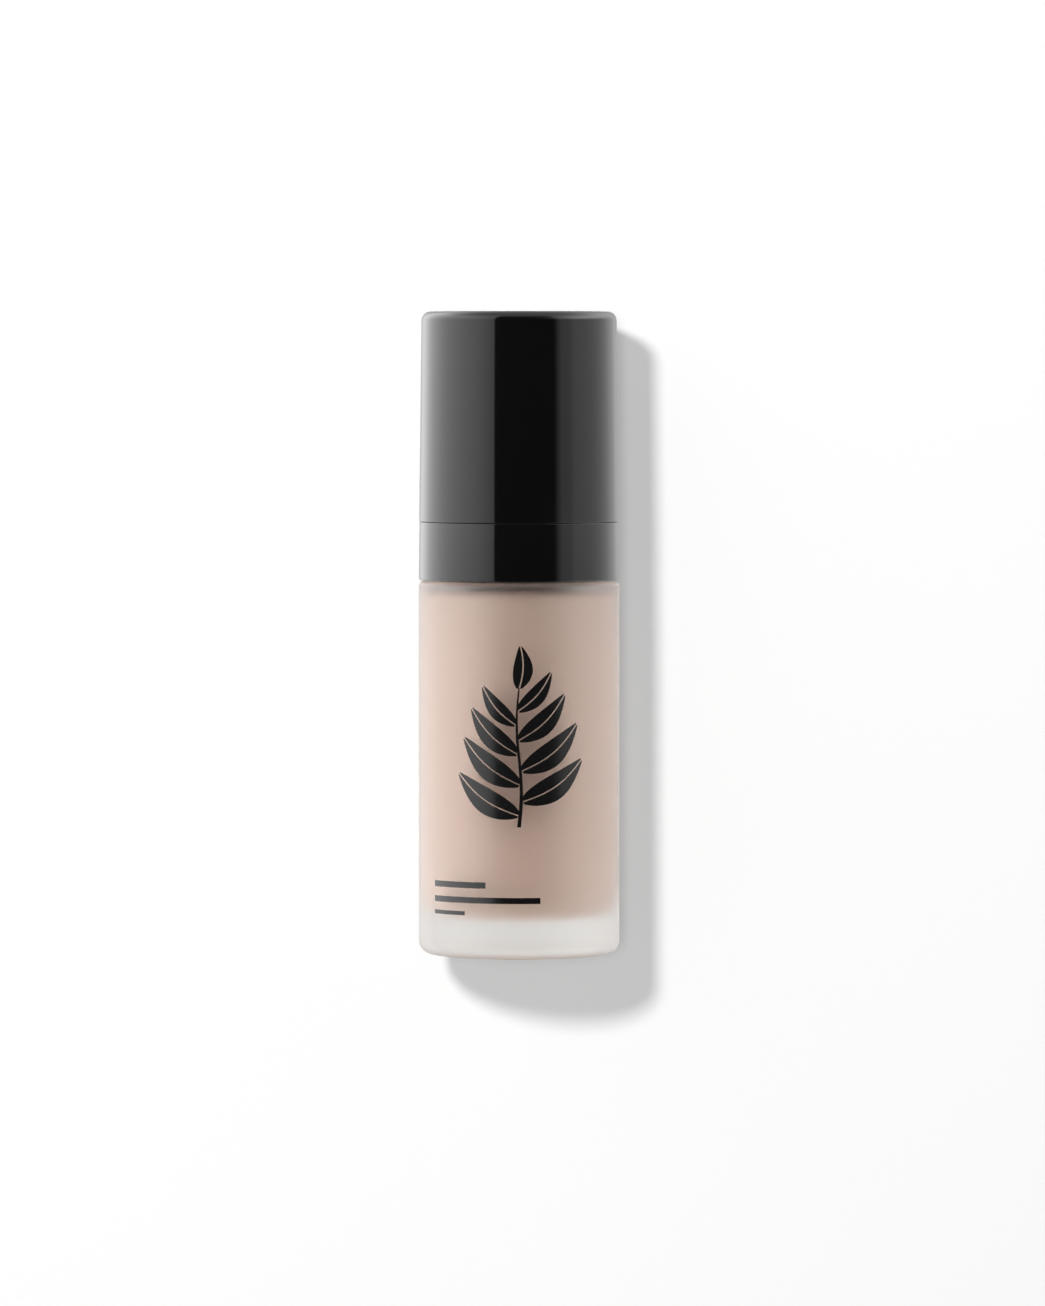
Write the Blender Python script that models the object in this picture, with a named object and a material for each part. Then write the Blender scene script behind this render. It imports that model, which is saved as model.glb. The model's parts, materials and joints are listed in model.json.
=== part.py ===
"""A 30 ml foundation bottle: frosted glass, a treatment pump on a screw closure, and a pull-off cap.

Metres, +Z up. The bottle stands on z = 0 with its axis on Z, and the pump's spout points to -Y.
Outlines are (radius, height) points turned about Z. Pieces that move together share an empty on
the axis of their joint, which is also each piece's origin. Touching pieces keep GAP between them.
"""

import math

import bmesh
import bpy
from mathutils import Matrix

GAP = 0.0003

# Glass bottle
BODY_R = 0.0175
SHOULDER_Z = 0.0650
SHOULDER_CORNER = 0.0010
BASE_CORNER = 0.0023
CONTACT_R = 0.0115
PUSH_UP = 0.0009
WALL = 0.0037
FLOOR_Z = 0.0066
INNER_CORNER = 0.0045
CEILING_Z = SHOULDER_Z - 0.0015
INNER_SHOULDER = 0.0022
NECK_R = 0.00895
NECK_BORE_R = 0.0063
NECK_HEIGHT = 0.0094
FILL_Z = 0.0632

# Screw thread of the neck, one start, right-handed
THREAD_LEAD = 0.003175
THREAD_START_Z = SHOULDER_Z + 0.0022
THREAD_CREST_R = 0.0098
THREAD_TURNS = 1.15
THREAD_PHASE = math.radians(3)

# Pump cylinder and what it holds
FLANGE_R = 0.0094
GASKET_T = 0.0007
FLANGE_T = 0.0012
DISC_T = 0.0010
DECK_T = 0.0014
BARREL_R = 0.0050
BARREL_BORE = 0.0040
HEAD_R = 0.0059
HEAD_BORE = 0.0049
HEAD_STEP_Z = 0.0722
CHAMBER_BORE = 0.0023
CHAMBER_TOP_Z = 0.0510
SEAT_Z = 0.0472
SEAT_R = 0.0010
SOCKET_Z = 0.0400
SOCKET_R = 0.0027
SOCKET_BORE = 0.0018
BALL_R = 0.0015
STROKE = 0.0050
PISTON_FLOAT_GAP = 0.0007
STEM_R = 0.0020
STEM_BORE = 0.0011
STEM_TOP_Z = 0.0935
SPRING_COIL_R = 0.0029
SPRING_WIRE_R = 0.00035
SPRING_TURNS = 7.5
SPRING_END_PITCH = 0.0008

# Closure and the sleeve over it
CLOSURE_R = 0.0125
CLOSURE_BORE = 0.01015
SLEEVE_R = 0.01745
SLEEVE_HEIGHT = 0.0100
SLEEVE_WALL = 0.00145
SPIGOT_R = 0.0144
SPIGOT_WALL = 0.0012
SPIGOT_TOP_Z = 0.0832

# Pump head
HEAD_COVER_R = 0.0096
HEAD_COVER_WALL = 0.0012
HEAD_COVER_TOP_Z = 0.1027
SPOUT_Z = 0.0965
SPOUT_TIP = 0.0132
SPOUT_R = 0.0026
SPOUT_TIP_R = 0.0022
SPOUT_BORE = 0.0009
NOZZLE_POCKET_R = 0.0017
NOZZLE_POCKET_DEPTH = 0.0024

# Cap
CAP_TOP_Z = 0.1119
CAP_BASE_R = 0.0174
CAP_TOP_R = 0.0170
CAP_CORNER = 0.0016
CAP_BORE = 0.0159
LINER_R = 0.0155
LINER_BORE = 0.0147
LINER_TOP_Z = 0.1094

# Sides of the turned pieces; multiples of four keep the whole as wide along X as along Y
SIDES_OUTER = 40
SIDES_MIDDLE = 32
SIDES_INNER = 20
SIDES_SMALL = 16

# Levels that follow from the stack on the neck's rim
NECK_TOP_Z = SHOULDER_Z + NECK_HEIGHT
GASKET_Z = NECK_TOP_Z + GAP
FLANGE_Z = GASKET_Z + GASKET_T + GAP
DISC_Z = FLANGE_Z + FLANGE_T + GAP
DECK_Z = DISC_Z + DISC_T + GAP
DECK_TOP_Z = DECK_Z + DECK_T
SLEEVE_Z = SHOULDER_Z + GAP
LEDGE_Z = SLEEVE_Z + SLEEVE_HEIGHT
CAP_Z = LEDGE_Z + GAP
BOSS_TOP_Z = DECK_TOP_Z + 0.0021
HEAD_COVER_Z = DECK_TOP_Z + STROKE + 2 * GAP
SOCKET_END_Z = BOSS_TOP_Z + STROKE + 2 * GAP
CAGE_Z = CHAMBER_TOP_Z + 0.0002
CAGE_TOP_Z = CAGE_Z + 0.0012
ROD_HEAD_Z = 0.0643
ROD_HEAD_TOP_Z = 0.0655
PISTON_Z = ROD_HEAD_TOP_Z + 0.0004
PISTON_TOP_Z = PISTON_Z + 0.0030
STEM_END_Z = PISTON_TOP_Z + PISTON_FLOAT_GAP
BALL_Z = SEAT_Z + 0.0014


def clear_scene():
    for item in list(bpy.data.objects):
        bpy.data.objects.remove(item, do_unlink=True)


# --- Shared tools -----------------------------------------------------------------------------


def principled(name, colour, roughness, metallic=0.0, transmission=0.0):
    material = bpy.data.materials.new(name)
    material.use_nodes = True
    shader = material.node_tree.nodes["Principled BSDF"]
    shader.inputs["Base Color"].default_value = (*colour, 1.0)
    shader.inputs["Roughness"].default_value = roughness
    shader.inputs["Metallic"].default_value = metallic
    shader.inputs["Transmission Weight"].default_value = transmission
    return material


def body_frame(name, level, parent=None):
    """An empty on the bottle's axis at this height, for the pieces of one moving body."""
    frame = bpy.data.objects.new(name, None)
    frame.empty_display_size = 0.005
    bpy.context.scene.collection.objects.link(frame)
    frame.parent = parent
    frame.location.z = level - level_of(parent)
    return frame


def level_of(item):
    """An object's world height: every frame only moves up or down the axis."""
    return item.location.z + level_of(item.parent) if item else 0.0


def add_object(name, data, frame):
    """An object made from data in bottle coordinates, with its origin at its frame."""
    data.transform(Matrix.Translation((0, 0, -level_of(frame))))
    item = bpy.data.objects.new(name, data)
    item.parent = frame
    bpy.context.scene.collection.objects.link(item)
    return item


def arc(centre_r, centre_z, radius, start, end, steps):
    """Points along a round corner of an outline, from one angle to another in degrees."""
    angles = [math.radians(start + (end - start) * i / steps) for i in range(steps + 1)]
    return [(centre_r + radius * math.cos(a), centre_z + radius * math.sin(a)) for a in angles]


def turned_mesh(name, outline, sides):
    """A closed solid turned about Z. An outline that starts and ends on the axis is solid there."""
    shape = bmesh.new()
    points = [shape.verts.new((r, 0, z)) for r, z in outline]
    on_axis = outline[0][0] == 0 and outline[-1][0] == 0
    pairs = list(zip(points, points[1:]))
    if not on_axis:
        pairs.append((points[-1], points[0]))
    edges = [shape.edges.new(pair) for pair in pairs]
    bmesh.ops.spin(
        shape,
        geom=points + edges,
        cent=(0, 0, 0),
        axis=(0, 0, 1),
        dvec=(0, 0, 0),
        angle=2 * math.pi,
        steps=sides,
        use_merge=True,
    )
    bmesh.ops.remove_doubles(shape, verts=shape.verts, dist=1e-7)
    return finished_mesh(name, shape)


def finished_mesh(name, shape):
    bmesh.ops.dissolve_degenerate(shape, dist=1e-7, edges=shape.edges)
    bmesh.ops.recalc_face_normals(shape, faces=shape.faces)
    mesh = bpy.data.meshes.new(name)
    shape.to_mesh(mesh)
    shape.free()
    mesh.shade_smooth()
    mesh.set_sharp_from_angle(angle=math.radians(32))
    return mesh


def turned(name, outline, sides, material, frame):
    item = add_object(name, turned_mesh(name, outline, sides), frame)
    item.data.materials.append(material)
    return item


def turned_along_spout(name, outline, sides, frame):
    """A turned solid whose axis runs out along the spout: heights become distances to -Y."""
    mesh = turned_mesh(name, outline, sides)
    mesh.transform(Matrix.Translation((0, 0, SPOUT_Z)) @ Matrix.Rotation(math.pi / 2, 4, "X"))
    return add_object(name, mesh, frame)


def move_columns(item, from_r, to_r, sides, chosen):
    """Moves the points at one radius to another in the chosen columns of a turned piece."""
    for vertex in item.data.vertices:
        x, y, _ = vertex.co
        column = round(math.atan2(y, x) / (2 * math.pi) * sides) % sides
        if abs(math.hypot(x, y) - from_r) < 1e-6 and chosen(column):
            vertex.co.x = x * to_r / from_r
            vertex.co.y = y * to_r / from_r


def hidden_tool(item):
    item.hide_render = True
    item.display_type = "WIRE"
    return item


def combine(item, tool, operation):
    step = item.modifiers.new(tool.name, "BOOLEAN")
    step.operation = operation
    step.object = hidden_tool(tool)
    step.solver = "EXACT"


def helical_ridge(name, root, crest, first_z, first_turn, turns, frame):
    """A ridge on the thread's helix. root and crest are (radius, half width); its ends fade out."""
    steps_per_turn = 24
    fade = 1 / 12
    count = round(turns * steps_per_turn)
    shape = bmesh.new()
    rings = []
    for i in range(count + 1):
        turn = first_turn + turns * i / count
        share = min(turns * i / count, turns * (count - i) / count) / fade
        share = max(0.05, min(1.0, share))
        crest_r = root[0] + (crest[0] - root[0]) * share
        angle = 2 * math.pi * turn + THREAD_PHASE
        middle = first_z + THREAD_LEAD * turn
        corners = [(root[0], -root[1]), (crest_r, -crest[1]), (crest_r, crest[1]), (root[0], root[1])]
        rings.append(
            [shape.verts.new((r * math.cos(angle), r * math.sin(angle), middle + z)) for r, z in corners]
        )
    for lower, upper in zip(rings, rings[1:]):
        for i in range(4):
            j = (i + 1) % 4
            shape.faces.new((lower[i], lower[j], upper[j], upper[i]))
    shape.faces.new(rings[0])
    shape.faces.new(reversed(rings[-1]))
    return add_object(name, finished_mesh(name, shape), frame)


# --- Bottle -----------------------------------------------------------------------------------


def make_glass_bottle():
    inner_r = BODY_R - WALL
    outline = [
        (0, FLOOR_Z),
        *arc(inner_r - INNER_CORNER, FLOOR_Z + INNER_CORNER, INNER_CORNER, -90, 0, 4),
        *arc(inner_r - INNER_SHOULDER, CEILING_Z - INNER_SHOULDER, INNER_SHOULDER, 0, 90, 4),
        (NECK_BORE_R + 0.0012, CEILING_Z + 0.0002),
        (NECK_BORE_R, CEILING_Z + 0.0014),
        (NECK_BORE_R, NECK_TOP_Z - 0.0003),
        (NECK_BORE_R + 0.0003, NECK_TOP_Z),
        (NECK_R - 0.0004, NECK_TOP_Z),
        (NECK_R, NECK_TOP_Z - 0.0004),
        (NECK_R, SHOULDER_Z + 0.0010),
        (NECK_R + 0.0003, SHOULDER_Z + 0.0003),
        (NECK_R + 0.0010, SHOULDER_Z),
        *arc(BODY_R - SHOULDER_CORNER, SHOULDER_Z - SHOULDER_CORNER, SHOULDER_CORNER, 90, 0, 3),
        *arc(BODY_R - BASE_CORNER, BASE_CORNER, BASE_CORNER, 0, -90, 5),
        (CONTACT_R, 0),
        (CONTACT_R - 0.0012, 0.0003),
        (CONTACT_R / 2, PUSH_UP - 0.0001),
        (0, PUSH_UP),
    ]
    glass = principled("frosted_glass", (0.90, 0.92, 0.90), 0.45, transmission=0.9)
    bottle = turned("glass_bottle", outline, SIDES_OUTER, glass, None)
    ridge = helical_ridge(
        "neck_thread",
        (NECK_R - 0.00035, 0.0011),
        (THREAD_CREST_R, 0.00045),
        THREAD_START_Z,
        0,
        THREAD_TURNS,
        None,
    )
    combine(bottle, ridge, "UNION")


def make_liquid():
    outer_r = BODY_R - WALL - GAP
    corner = INNER_CORNER - GAP
    shoulder = INNER_SHOULDER - GAP
    well = 0.0004
    outline = [
        (0, FLOOR_Z + GAP),
        *arc(outer_r - corner, FLOOR_Z + GAP + corner, corner, -90, 0, 3),
        *arc(outer_r - shoulder, FILL_Z - shoulder, shoulder, 0, 90, 3),
        (BARREL_R + well, FILL_Z),
        (BARREL_R + well, SEAT_Z + 0.0012),
        (SOCKET_R + well, SEAT_Z - 0.0018),
        (SOCKET_R + well, SOCKET_Z - GAP),
        (SOCKET_BORE, SOCKET_Z - GAP),
        (SOCKET_BORE, FLOOR_Z + 0.0010),
        (0, FLOOR_Z + 0.0010),
    ]
    cream = principled("beige_liquid", (0.56, 0.40, 0.33), 0.35)
    turned("liquid_foundation", outline, SIDES_MIDDLE, cream, None)


# --- Pump -------------------------------------------------------------------------------------


def make_neck_gasket(frame):
    outline = [
        (NECK_BORE_R + 0.0001, GASKET_Z),
        (FLANGE_R, GASKET_Z),
        (FLANGE_R, GASKET_Z + GASKET_T),
        (NECK_BORE_R + 0.0001, GASKET_Z + GASKET_T),
    ]
    foam = principled("gasket_foam", (0.75, 0.75, 0.72), 0.8)
    turned("neck_gasket", outline, SIDES_INNER, foam, frame)


def make_pump_housing(frame):
    outline = [
        (SOCKET_BORE, SOCKET_Z),
        (SOCKET_R, SOCKET_Z),
        (SOCKET_R, SEAT_Z - 0.0017),
        (BARREL_R, SEAT_Z + 0.0013),
        (BARREL_R, HEAD_STEP_Z - 0.0016),
        (HEAD_R, HEAD_STEP_Z - 0.0008),
        (HEAD_R, FLANGE_Z),
        (FLANGE_R, FLANGE_Z),
        (FLANGE_R, FLANGE_Z + FLANGE_T),
        (HEAD_BORE, FLANGE_Z + FLANGE_T),
        (HEAD_BORE, HEAD_STEP_Z),
        (BARREL_BORE, HEAD_STEP_Z),
        (BARREL_BORE, CHAMBER_TOP_Z),
        (CHAMBER_BORE, CHAMBER_TOP_Z),
        (CHAMBER_BORE, SEAT_Z + CHAMBER_BORE - SEAT_R),
        (SEAT_R, SEAT_Z),
        (SEAT_R, SEAT_Z - 0.0004),
        (SOCKET_BORE, SEAT_Z - 0.0004),
    ]
    plastic = principled("housing_plastic", (0.82, 0.83, 0.82), 0.4, transmission=0.3)
    turned("pump_housing", outline, SIDES_INNER, plastic, frame)


def make_chaplet(frame):
    """The bush that closes the cylinder: a plug, a disc under the closure's deck and a boss."""
    plug_z = HEAD_STEP_Z + 0.00155
    guide_r = STEM_R + GAP
    bore = 0.0029
    boss_r = 0.0052
    outline = [
        (bore, plug_z),
        (HEAD_BORE - GAP, plug_z),
        (HEAD_BORE - GAP, DISC_Z),
        (FLANGE_R - 0.0014, DISC_Z),
        (FLANGE_R - 0.0014, DISC_Z + DISC_T),
        (boss_r, DISC_Z + DISC_T),
        (boss_r, BOSS_TOP_Z - 0.0003),
        (boss_r - 0.0003, BOSS_TOP_Z),
        (guide_r, BOSS_TOP_Z),
        (guide_r, BOSS_TOP_Z - 0.0012),
        (bore, BOSS_TOP_Z - 0.0018),
    ]
    plastic = principled("chaplet_plastic", (0.03, 0.03, 0.03), 0.4)
    turned("chaplet", outline, SIDES_INNER, plastic, frame)


def make_stem_seal(frame):
    low = HEAD_STEP_Z + 0.00025
    high = low + 0.0010
    outline = [
        (STEM_R + 0.00025, low),
        (HEAD_BORE - GAP, low),
        (HEAD_BORE - GAP, high),
        (STEM_R + 0.00025, high),
    ]
    rubber = principled("seal_rubber", (0.15, 0.15, 0.16), 0.6)
    turned("stem_seal", outline, SIDES_INNER, rubber, frame)


def make_ball_cage(frame):
    """A ring that seats the spring; its four slots let liquid past the lifted ball."""
    sides = 32
    bore = 0.0011
    slot_end_r = 0.0026
    outline = [
        (bore, CAGE_Z),
        (BARREL_BORE - GAP, CAGE_Z),
        (BARREL_BORE - GAP, CAGE_TOP_Z),
        (bore, CAGE_TOP_Z),
    ]
    plastic = principled("cage_plastic", (0.80, 0.80, 0.78), 0.4)
    cage = turned("ball_cage", outline, sides, plastic, frame)
    move_columns(cage, bore, slot_end_r, sides, lambda column: column % 8 < 2)


def make_return_spring(frame):
    """A coil with closed ends, from the cage up to the head of the piston rod."""
    points_per_turn = 10
    low = CAGE_TOP_Z + GAP + SPRING_WIRE_R
    high = ROD_HEAD_Z - GAP - SPRING_WIRE_R
    open_pitch = (high - low - 2 * SPRING_END_PITCH) / (SPRING_TURNS - 2)
    curve = bpy.data.curves.new("return_spring", "CURVE")
    curve.dimensions = "3D"
    curve.bevel_depth = SPRING_WIRE_R
    curve.bevel_resolution = 1
    curve.use_fill_caps = True
    count = round(SPRING_TURNS * points_per_turn)
    wire = curve.splines.new("POLY")
    wire.points.add(count)
    for i, point in enumerate(wire.points):
        turn = i / points_per_turn
        open_turns = min(max(turn - 1, 0), SPRING_TURNS - 2)
        end_turns = turn - open_turns
        height = low + SPRING_END_PITCH * end_turns + open_pitch * open_turns
        angle = 2 * math.pi * turn
        point.co = (SPRING_COIL_R * math.cos(angle), SPRING_COIL_R * math.sin(angle), height, 1)
    curve.materials.append(principled("spring_steel", (0.62, 0.62, 0.63), 0.25, metallic=1.0))
    add_object("return_spring", curve, frame)


def make_dip_tube(frame):
    """A straight tube whose lower end is cut at a slant, so that it can't seal on the floor."""
    outer_r = SOCKET_BORE - GAP
    low = FLOOR_Z + 0.0014
    slant = 0.5
    outline = [
        (0.00085, low),
        (outer_r, low),
        (outer_r, SEAT_Z - 0.0007),
        (0.00085, SEAT_Z - 0.0007),
    ]
    plastic = principled("tube_plastic", (0.85, 0.86, 0.84), 0.35, transmission=0.5)
    tube = turned("dip_tube", outline, SIDES_SMALL, plastic, frame)
    lower_end = min(vertex.co.z for vertex in tube.data.vertices)
    for vertex in tube.data.vertices:
        if vertex.co.z < lower_end + 1e-6:
            vertex.co.z += slant * (vertex.co.x + outer_r)


def make_inlet_ball(frame):
    shape = bmesh.new()
    bmesh.ops.create_uvsphere(
        shape,
        u_segments=SIDES_SMALL,
        v_segments=8,
        radius=BALL_R,
        matrix=Matrix.Translation((0, 0, BALL_Z)),
    )
    ball = add_object("inlet_ball", finished_mesh("inlet_ball", shape), frame)
    ball.data.materials.append(principled("ball_steel", (0.60, 0.60, 0.61), 0.15, metallic=1.0))


# --- Moving stem and piston -------------------------------------------------------------------


def make_pump_stem(frame):
    flange_r = 0.0033
    flange_top_z = HEAD_STEP_Z - 0.0001
    outline = [
        (STEM_BORE, STEM_END_Z),
        (STEM_R, STEM_END_Z),
        (STEM_R, flange_top_z - 0.0012),
        (flange_r, flange_top_z - 0.0012),
        (flange_r, flange_top_z),
        (STEM_R, flange_top_z),
        (STEM_R, STEM_TOP_Z - 0.0002),
        (STEM_R - 0.0002, STEM_TOP_Z),
        (STEM_BORE, STEM_TOP_Z),
    ]
    plastic = principled("stem_plastic", (0.78, 0.78, 0.76), 0.35)
    turned("pump_stem", outline, SIDES_SMALL, plastic, frame)


def make_piston_rod(frame):
    """Solid rod: a spring boss, the valve head, the piston's shaft and a pin inside the stem."""
    boss_r = 0.0021
    shaft_r = 0.0013
    pin_r = STEM_BORE - 0.00035
    outline = [
        (0, ROD_HEAD_Z - 0.0011),
        (boss_r - 0.0002, ROD_HEAD_Z - 0.0011),
        (boss_r, ROD_HEAD_Z - 0.0009),
        (boss_r, ROD_HEAD_Z),
        (0.0033, ROD_HEAD_Z),
        (0.0033, ROD_HEAD_Z + 0.0007),
        (0.0024, ROD_HEAD_TOP_Z),
        (shaft_r, ROD_HEAD_TOP_Z),
        (shaft_r, STEM_END_Z - 0.0004),
        (pin_r, STEM_END_Z - 0.0002),
        (pin_r, STEM_END_Z + 0.0054),
        (0, STEM_END_Z + 0.0056),
    ]
    plastic = principled("rod_plastic", (0.80, 0.80, 0.78), 0.35)
    turned("piston_rod", outline, SIDES_SMALL, plastic, frame)


def make_piston_seal(frame):
    """A piston with two lips on its outside and a sleeve around the rod."""
    lip_r = BARREL_BORE - 0.0002
    waist_r = 0.0032
    bore = 0.0016
    sleeve_r = 0.0022
    middle_z = (PISTON_Z + PISTON_TOP_Z) / 2
    upper_half = [
        (bore, PISTON_TOP_Z),
        (sleeve_r, PISTON_TOP_Z),
        (sleeve_r, PISTON_TOP_Z - 0.0007),
        (waist_r - GAP, PISTON_TOP_Z - 0.0007),
        (lip_r - 0.0003, PISTON_TOP_Z),
        (lip_r, PISTON_TOP_Z),
        (lip_r, PISTON_TOP_Z - 0.0005),
        (waist_r, PISTON_TOP_Z - 0.0010),
    ]
    lower_half = [(r, 2 * middle_z - z) for r, z in reversed(upper_half)]
    plastic = principled("piston_plastic", (0.88, 0.88, 0.86), 0.45)
    turned("piston_seal", upper_half + lower_half, SIDES_INNER, plastic, frame)


# --- Pump head --------------------------------------------------------------------------------


def make_actuator_body(frame):
    """Socket for the stem, a disc that the cover grips, and the spout with its channel."""
    socket_r = 0.0036
    channel_r = 0.0012
    disc_r = HEAD_COVER_R - HEAD_COVER_WALL - GAP
    disc_top_z = HEAD_COVER_TOP_Z - 0.0029
    disc_z = disc_top_z - 0.0012
    bore = STEM_R + GAP
    outline = [
        (0, disc_top_z),
        (disc_r, disc_top_z),
        (disc_r, disc_z),
        (socket_r, disc_z),
        (socket_r, SOCKET_END_Z),
        (bore + 0.0002, SOCKET_END_Z),
        (bore, SOCKET_END_Z + 0.0003),
        (bore, STEM_TOP_Z + 0.0005),
        (channel_r, STEM_TOP_Z + 0.0005),
        (channel_r, SPOUT_Z),
        (0, SPOUT_Z),
    ]
    plastic = principled("actuator_plastic", (0.02, 0.02, 0.02), 0.3)
    body = turned("actuator_body", outline, SIDES_INNER, plastic, frame)
    spout = [
        (0, 0.0020),
        (SPOUT_R, 0.0020),
        (SPOUT_TIP_R, SPOUT_TIP - 0.0002),
        (SPOUT_TIP_R - 0.0002, SPOUT_TIP),
        (0, SPOUT_TIP),
    ]
    combine(body, turned_along_spout("spout_solid", spout, SIDES_SMALL, frame), "UNION")
    pocket_start = SPOUT_TIP - NOZZLE_POCKET_DEPTH
    channel = [
        (0, -0.0003),
        (SPOUT_BORE, -0.0003),
        (SPOUT_BORE, pocket_start),
        (NOZZLE_POCKET_R, pocket_start),
        (NOZZLE_POCKET_R, SPOUT_TIP + 0.0010),
        (0, SPOUT_TIP + 0.0010),
    ]
    combine(body, turned_along_spout("spout_channel", channel, SIDES_SMALL, frame), "DIFFERENCE")


def make_actuator_cover(frame):
    """The head's outer shell, open below, with a finger dish and a hole for the spout."""
    inner_r = HEAD_COVER_R - HEAD_COVER_WALL
    round_r = 0.0012
    rim_r = HEAD_COVER_R - round_r - 0.0006
    dish = 0.0012
    roof_z = HEAD_COVER_TOP_Z - dish - HEAD_COVER_WALL
    outline = [
        (0, roof_z),
        (inner_r, roof_z),
        (inner_r, HEAD_COVER_Z),
        (HEAD_COVER_R - 0.0003, HEAD_COVER_Z),
        (HEAD_COVER_R, HEAD_COVER_Z + 0.0003),
        *arc(HEAD_COVER_R - round_r, HEAD_COVER_TOP_Z - round_r, round_r, 0, 90, 3),
        (rim_r, HEAD_COVER_TOP_Z - 0.0001),
        (rim_r * 0.7, HEAD_COVER_TOP_Z - dish * 0.66),
        (rim_r * 0.35, HEAD_COVER_TOP_Z - dish * 0.93),
        (0, HEAD_COVER_TOP_Z - dish),
    ]
    plastic = principled("cover_gloss_black", (0.012, 0.012, 0.013), 0.08)
    cover = turned("actuator_cover", outline, SIDES_MIDDLE, plastic, frame)
    hole_r = SPOUT_R + GAP
    hole = [(0, 0.0050), (hole_r, 0.0050), (hole_r, 0.0120), (0, 0.0120)]
    combine(cover, turned_along_spout("spout_hole", hole, SIDES_SMALL, frame), "DIFFERENCE")


def make_nozzle_insert(frame):
    shank_r = NOZZLE_POCKET_R - 0.00025
    bore = 0.0007
    start = SPOUT_TIP - NOZZLE_POCKET_DEPTH + GAP
    flange = SPOUT_TIP + GAP
    tip = flange + 0.0005
    outline = [
        (bore, start),
        (shank_r, start),
        (shank_r, flange),
        (SPOUT_TIP_R - 0.0001, flange),
        (SPOUT_TIP_R - 0.0003, tip),
        (bore, tip),
    ]
    insert = turned_along_spout("nozzle_insert", outline, SIDES_SMALL, frame)
    insert.data.materials.append(principled("nozzle_plastic", (0.02, 0.02, 0.02), 0.25))


# --- Closure and sleeve -----------------------------------------------------------------------


def make_screw_closure(frame):
    """A threaded cup over the neck. Its deck clamps the pump, and ribs on its wall grip the sleeve."""
    low = SHOULDER_Z + 0.0006
    rib = 0.0003
    hole_r = 0.0056
    outline = [
        (CLOSURE_BORE + 0.0003, low),
        (CLOSURE_R - rib, low),
        (CLOSURE_R - rib, low + 0.0010),
        (CLOSURE_R, low + 0.0012),
        (CLOSURE_R, DECK_TOP_Z - 0.0015),
        (CLOSURE_R - rib, DECK_TOP_Z - 0.0013),
        (CLOSURE_R - rib, DECK_TOP_Z),
        (hole_r, DECK_TOP_Z),
        (hole_r, DECK_Z),
        (CLOSURE_BORE, DECK_Z),
        (CLOSURE_BORE, low + 0.0004),
    ]
    plastic = principled("closure_plastic", (0.025, 0.025, 0.026), 0.45)
    closure = turned("screw_closure", outline, SIDES_OUTER, plastic, frame)
    move_columns(closure, CLOSURE_R, CLOSURE_R - rib, SIDES_OUTER, lambda column: column % 2)
    ridge = helical_ridge(
        "closure_thread",
        (CLOSURE_BORE + 0.00035, 0.00055),
        (CLOSURE_BORE - 0.00085, 0.00020),
        THREAD_START_Z - 0.00125,
        1 / 6,
        11 / 12,
        frame,
    )
    combine(closure, ridge, "UNION")


def make_collar_sleeve(frame):
    """Outer skirt, ledge under the cap, spigot inside the cap, and a lip over the closure's deck."""
    wall_r = SLEEVE_R - SLEEVE_WALL
    inner_wall_r = CLOSURE_R + GAP
    lip_r = HEAD_COVER_R + 0.0006
    lip_z = DECK_TOP_Z + GAP
    lip_top_z = lip_z + 0.0010
    edge = 0.0002
    bead = 0.00015
    bead_z = LEDGE_Z + 0.0050
    outline = [
        (wall_r, SLEEVE_Z),
        (SLEEVE_R - edge, SLEEVE_Z),
        (SLEEVE_R, SLEEVE_Z + edge),
        (SLEEVE_R, LEDGE_Z - edge),
        (SLEEVE_R - edge, LEDGE_Z),
        (SPIGOT_R, LEDGE_Z),
        (SPIGOT_R, bead_z),
        (SPIGOT_R + bead, bead_z + 0.0005),
        (SPIGOT_R + bead, bead_z + 0.0009),
        (SPIGOT_R, bead_z + 0.0014),
        (SPIGOT_R, SPIGOT_TOP_Z - 0.0003),
        (SPIGOT_R - 0.0003, SPIGOT_TOP_Z),
        (SPIGOT_R - SPIGOT_WALL, SPIGOT_TOP_Z),
        (SPIGOT_R - SPIGOT_WALL, lip_top_z),
        (lip_r, lip_top_z),
        (lip_r, lip_z),
        (inner_wall_r, lip_z),
        (inner_wall_r, SHOULDER_Z + 0.0018),
        (inner_wall_r + 0.0011, SHOULDER_Z + 0.0018),
        (inner_wall_r + 0.0011, LEDGE_Z - 0.0014),
        (wall_r, LEDGE_Z - 0.0014),
    ]
    plastic = principled("sleeve_gloss_black", (0.012, 0.012, 0.013), 0.08)
    turned("collar_sleeve", outline, SIDES_OUTER, plastic, frame)


# --- Cap --------------------------------------------------------------------------------------


def make_overcap_shell(frame):
    roof_z = LINER_TOP_Z + 0.0005
    edge = 0.00025
    outline = [
        (0, CAP_TOP_Z),
        *arc(CAP_TOP_R - CAP_CORNER, CAP_TOP_Z - CAP_CORNER, CAP_CORNER, 90, 0, 5),
        (CAP_BASE_R, CAP_Z + edge),
        (CAP_BASE_R - edge, CAP_Z),
        (CAP_BORE + edge, CAP_Z),
        (CAP_BORE, CAP_Z + edge),
        (CAP_BORE - 0.0001, roof_z - 0.0008),
        (CAP_BORE - 0.0009, roof_z),
        (0, roof_z),
    ]
    plastic = principled("cap_gloss_black", (0.012, 0.012, 0.013), 0.06)
    turned("overcap_shell", outline, SIDES_OUTER, plastic, frame)


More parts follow.
